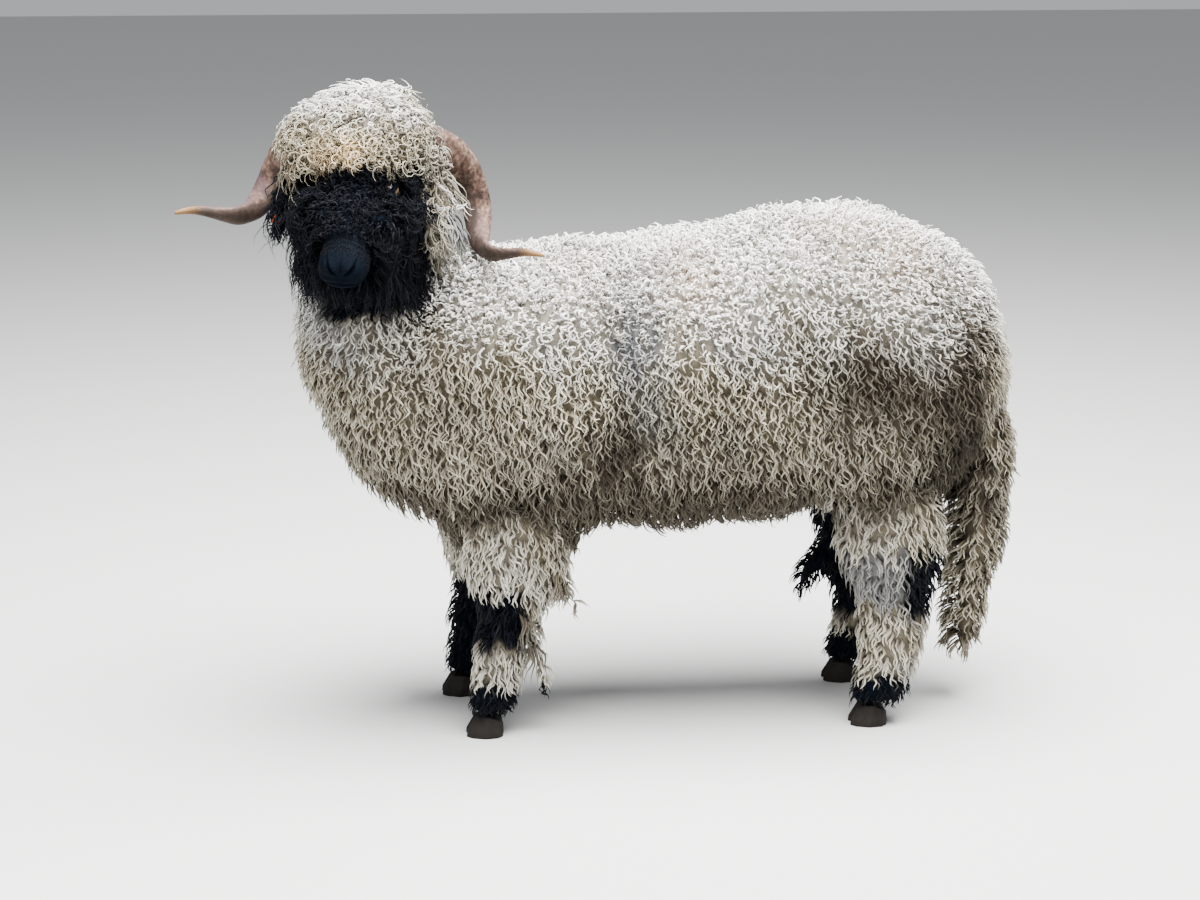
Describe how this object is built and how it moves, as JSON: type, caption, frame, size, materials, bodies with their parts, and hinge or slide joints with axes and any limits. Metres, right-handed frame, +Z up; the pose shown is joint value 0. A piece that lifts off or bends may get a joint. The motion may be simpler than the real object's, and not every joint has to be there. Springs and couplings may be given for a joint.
{
  "type": "valais blacknose sheep",
  "caption": "Life-size still model of a standing Valais blacknose ram, curly fleece, black face and spiral horns, head turned to its left",
  "frame": {"origin": "on the floor, under the middle of the model's bounding box", "axes": "+Z is up; the body lies along Y with its head end at -Y and its tail at +Y; +X is the animal's left side, which its face is turned to"},
  "size_m": [0.5571, 1.3867, 1.0722],
  "materials": {
    "fleece": "curly cream wool, soiled darker on the thighs, belly and elbows",
    "head_fleece": "tight cream ringlets, golden at the brow",
    "leg_fleece": "short curly wool with black knees, hocks and feet",
    "black_hair": "soft black hair and curls",
    "dark_skin": "matt, finely creased skin",
    "eye": "wet dark brown",
    "horn": "ringed brown horn, paler at the tips",
    "ear_tag": "plain orange plastic",
    "claw": "dull black horn"
  },
  "bodies": {
    "root": {"torso": "fleece", "neck": "fleece", "head_wool": "head_fleece", "tail": "fleece", "foreleg_left": "leg_fleece", "foreleg_right": "leg_fleece", "hindleg_left": "leg_fleece", "hindleg_right": "leg_fleece", "head": "black_hair", "ear_left": "black_hair", "ear_right": "black_hair", "scrotum": "dark_skin", "eye_left": "eye", "eye_right": "eye", "horn_left": "horn", "horn_right": "horn", "ear_tag": "ear_tag", "foreclaw_left_outer": "claw", "foreclaw_left_inner": "claw", "foreclaw_right_outer": "claw", "foreclaw_right_inner": "claw", "hindclaw_left_outer": "claw", "hindclaw_left_inner": "claw", "hindclaw_right_outer": "claw", "hindclaw_right_inner": "claw"}
  },
  "joints": []
}
